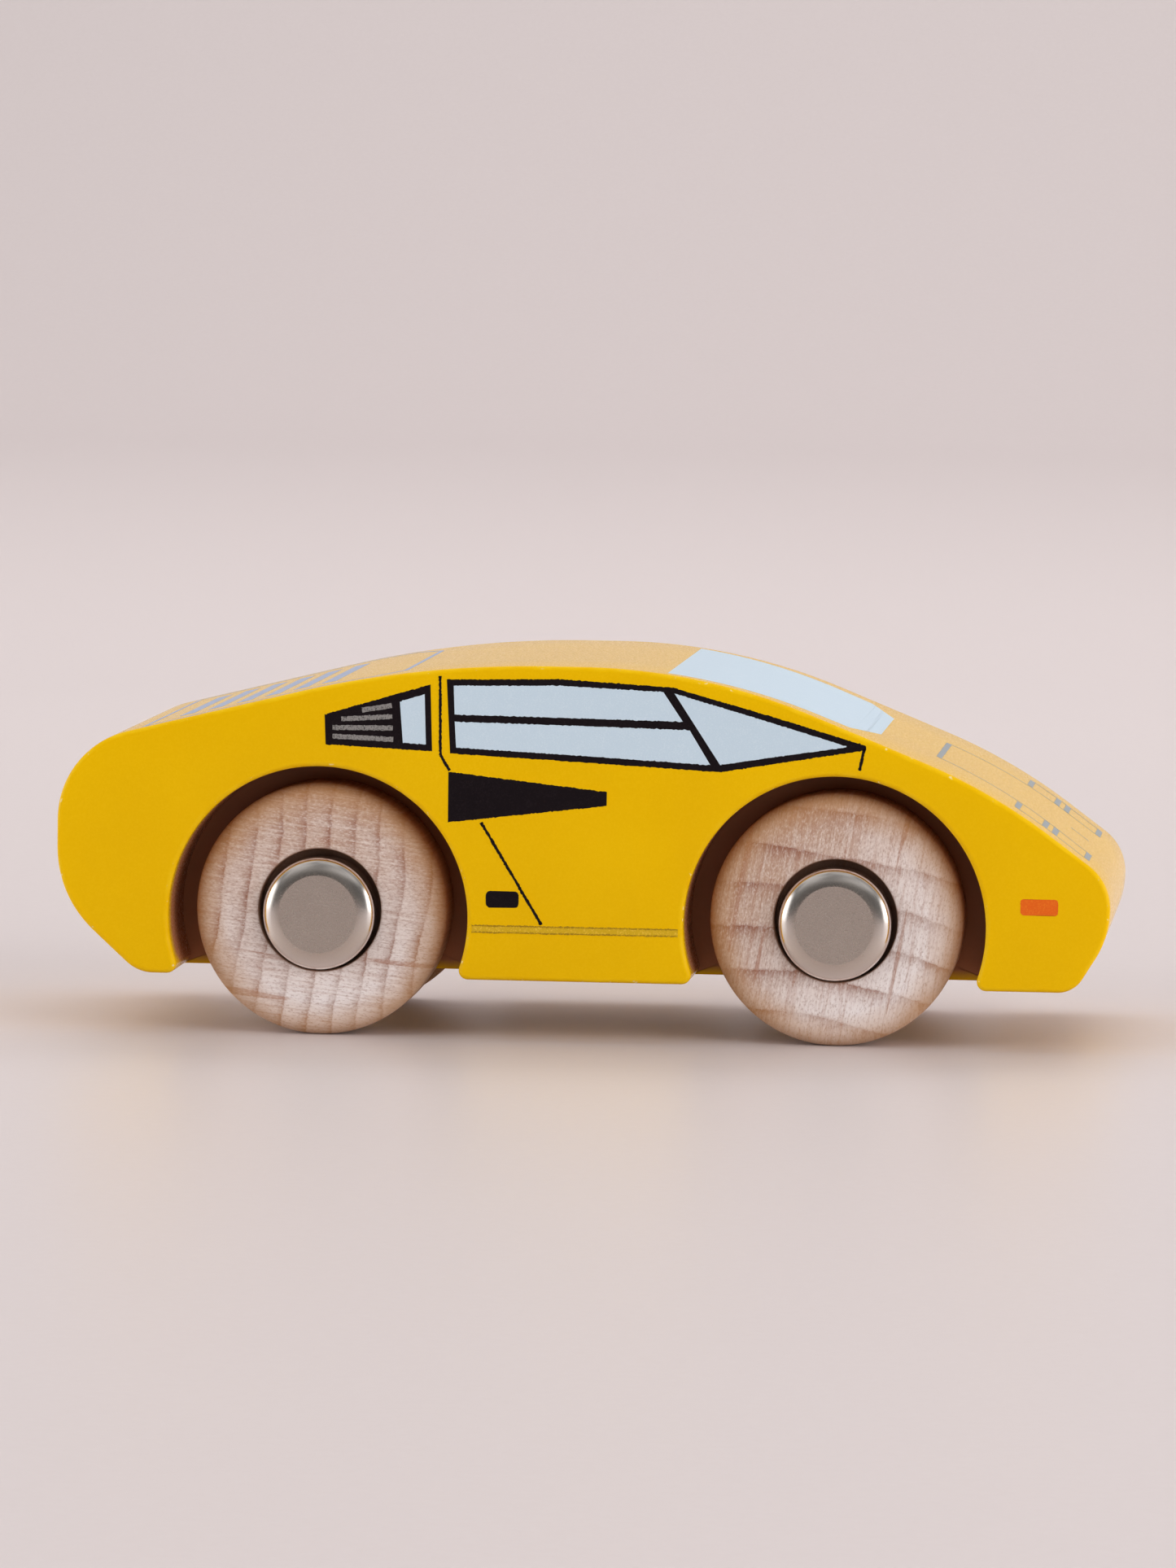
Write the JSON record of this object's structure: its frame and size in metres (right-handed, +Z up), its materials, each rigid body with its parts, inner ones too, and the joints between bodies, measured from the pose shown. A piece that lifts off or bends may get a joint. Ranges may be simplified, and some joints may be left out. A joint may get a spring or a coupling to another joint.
{
  "type": "wooden toy car",
  "caption": "Palm-size wooden toy sports car: painted one-piece body with blind wheel pockets, free-turning wooden wheels on loose steel axles, held by capped push nuts.",
  "frame": {"origin": "on the floor, under the middle of the car's length and width", "axes": "+X towards the nose, +Y to the car's left, +Z up"},
  "size_m": [0.0918, 0.038, 0.0327],
  "materials": {
    "body_paint": "satin yellow paint on wood, sanded edges, printed windows and lines",
    "wheel_wood": "bare beech, fine-turned",
    "cap_nickel": "nickel plate, satin face and polished edge",
    "axle_steel": "plain drawn steel rod",
    "nut_steel": "tempered spring steel"
  },
  "bodies": {
    "body": {"car_body": "body_paint"},
    "front_axle_set": {"front_axle": "axle_steel", "front_left_hub_cap": "cap_nickel", "front_left_push_nut": "nut_steel", "front_right_hub_cap": "cap_nickel", "front_right_push_nut": "nut_steel"},
    "front_left_wheel": {"front_left_wheel": "wheel_wood"},
    "front_right_wheel": {"front_right_wheel": "wheel_wood"},
    "rear_axle_set": {"rear_axle": "axle_steel", "rear_left_hub_cap": "cap_nickel", "rear_left_push_nut": "nut_steel", "rear_right_hub_cap": "cap_nickel", "rear_right_push_nut": "nut_steel"},
    "rear_left_wheel": {"rear_left_wheel": "wheel_wood"},
    "rear_right_wheel": {"rear_right_wheel": "wheel_wood"}
  },
  "joints": [
    {"name": "front_axle_spin", "type": "hinge", "parent": "body", "child": "front_axle_set", "pos_m": [0.02205, 0, 0.01076], "axis": [0, 1, 0], "continuous": true},
    {"name": "front_left_wheel_spin", "type": "hinge", "parent": "body", "child": "front_left_wheel", "pos_m": [0.02205, 0.01355, 0.011], "axis": [0, 1, 0], "continuous": true},
    {"name": "front_right_wheel_spin", "type": "hinge", "parent": "body", "child": "front_right_wheel", "pos_m": [0.02205, -0.01355, 0.011], "axis": [0, 1, 0], "continuous": true},
    {"name": "rear_axle_spin", "type": "hinge", "parent": "body", "child": "rear_axle_set", "pos_m": [-0.02295, 0, 0.01076], "axis": [0, 1, 0], "continuous": true},
    {"name": "rear_left_wheel_spin", "type": "hinge", "parent": "body", "child": "rear_left_wheel", "pos_m": [-0.02295, 0.01355, 0.011], "axis": [0, 1, 0], "continuous": true},
    {"name": "rear_right_wheel_spin", "type": "hinge", "parent": "body", "child": "rear_right_wheel", "pos_m": [-0.02295, -0.01355, 0.011], "axis": [0, 1, 0], "continuous": true}
  ]
}
